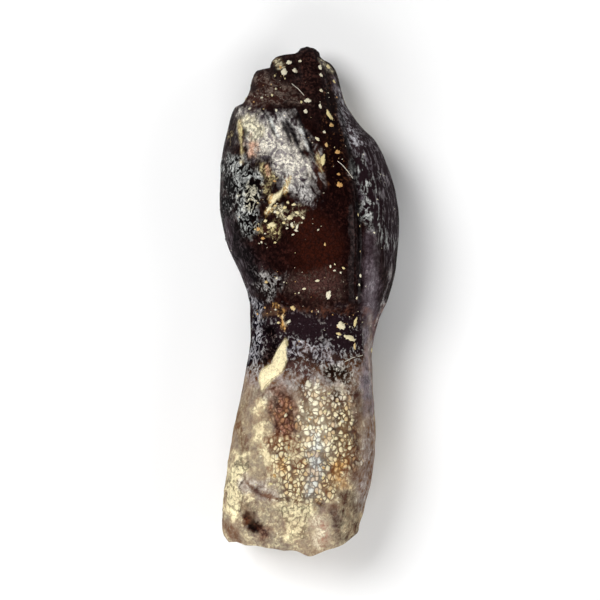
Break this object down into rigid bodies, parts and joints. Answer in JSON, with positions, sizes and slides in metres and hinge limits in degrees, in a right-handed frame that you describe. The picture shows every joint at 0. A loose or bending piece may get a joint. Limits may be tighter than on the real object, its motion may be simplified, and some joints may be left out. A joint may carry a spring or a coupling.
{
  "type": "turiasaurian sauropod tooth",
  "caption": "Fossil turiasaurian sauropod tooth with a heart-shaped wrinkled crown, worn cusps at the tip and a broken root stump, lying labial side up.",
  "frame": {"origin": "centre of the bounding box at the level the tooth rests on", "axes": "+X from the mesial to the distal margin, +Y from the broken root to the tip, +Z out of the labial face, upwards as it lies"},
  "size_m": [0.0162, 0.046, 0.0115],
  "materials": {
    "fossil": "glossy enamel, dull root"
  },
  "bodies": {
    "root": {"tooth": "fossil"}
  },
  "joints": []
}
